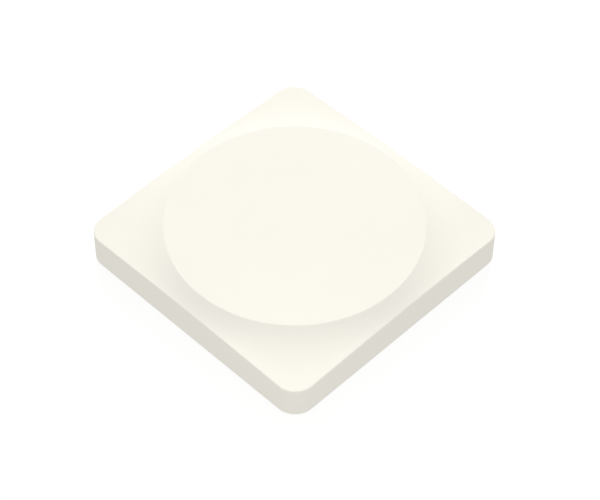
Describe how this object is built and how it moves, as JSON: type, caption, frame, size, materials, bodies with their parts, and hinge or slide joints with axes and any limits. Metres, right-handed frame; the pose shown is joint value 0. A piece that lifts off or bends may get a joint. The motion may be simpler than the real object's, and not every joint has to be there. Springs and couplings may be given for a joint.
{
  "type": "smart button",
  "caption": "Square wireless push button with a raised round plateau; the whole top presses down on a central switch over a coin cell.",
  "frame": {"origin": "middle of the foam pad's resting face, under the middle of the square cap", "axes": "+Z out of the pressed face, against the direction of the push; X and Y along the sides"},
  "size_m": [0.06, 0.06, 0.0106],
  "materials": {
    "cap_white": "fine matt soft-touch, warm off-white",
    "carrier_grey": "plain moulded, light grey",
    "silicone": "soft matt silicone",
    "base_white": "fine spark texture, warm light grey",
    "door_white": "fine spark texture, warm light grey",
    "foam_pad": "closed-cell foam, light grey",
    "board_laminate": "green solder mask",
    "plated_steel": "bright nickel plate",
    "black_nylon": "moulded",
    "spring_steel": "drawn stainless spring steel",
    "plunger_nylon": "moulded",
    "tinned_metal": "bright tin plate",
    "cell_steel": "nickel-plated steel",
    "gasket_nylon": "plain",
    "chip_epoxy": "moulded epoxy",
    "antenna_ceramic": "white ceramic",
    "capacitor_epoxy": "moulded epoxy",
    "capacitor_ceramic": "fired ceramic",
    "led_resin": "clear epoxy"
  },
  "bodies": {
    "base": {"base_housing": "base_white", "mounting_pad": "foam_pad", "circuit_board": "board_laminate", "board_screws": "plated_steel", "switch_housing": "black_nylon", "switch_dome": "spring_steel", "switch_frame": "plated_steel", "switch_terminals": "tinned_metal", "battery_can": "cell_steel", "battery_gasket": "gasket_nylon", "battery_cap": "cell_steel", "positive_contact": "spring_steel", "negative_contact": "spring_steel", "radio_board": "board_laminate", "radio_chip": "chip_epoxy", "radio_shield": "tinned_metal", "chip_antenna": "antenna_ceramic", "crystal": "tinned_metal", "bulk_capacitor": "capacitor_epoxy", "capacitors": "capacitor_ceramic", "resistors": "chip_epoxy", "status_led": "led_resin", "return_spring_left_front": "spring_steel", "return_spring_left_rear": "spring_steel", "return_spring_right_front": "spring_steel", "return_spring_right_rear": "spring_steel", "stop_bumper_right": "silicone", "stop_bumper_rear": "silicone", "stop_bumper_left": "silicone", "stop_bumper_front": "silicone"},
    "cap": {"top_cover": "cap_white", "cover_carrier": "carrier_grey", "actuator_pad": "silicone"},
    "plunger": {"switch_plunger": "plunger_nylon"},
    "door": {"battery_door": "door_white"}
  },
  "joints": [
    {"name": "cap_press", "type": "slide", "parent": "base", "child": "cap", "axis": [0, 0, -1], "range_m": [0, 0.0005], "stiffness_N_per_m": 1500, "springref_m": -0.0008, "deforming": ["return_spring_left_front", "return_spring_left_rear", "return_spring_right_front", "return_spring_right_rear"]},
    {"name": "plunger_press", "type": "slide", "parent": "base", "child": "plunger", "axis": [0, 0, -1], "range_m": [0, 0.0005], "deforming": ["switch_dome"]},
    {"name": "door_turn", "type": "hinge", "parent": "base", "child": "door", "pos_m": [0, 0, 0.001], "axis": [0, 0, 1], "range_deg": [0, 30]}
  ],
  "couplings": [
    {"joint": "plunger_press", "follows": "cap_press", "ratio": 1}
  ]
}
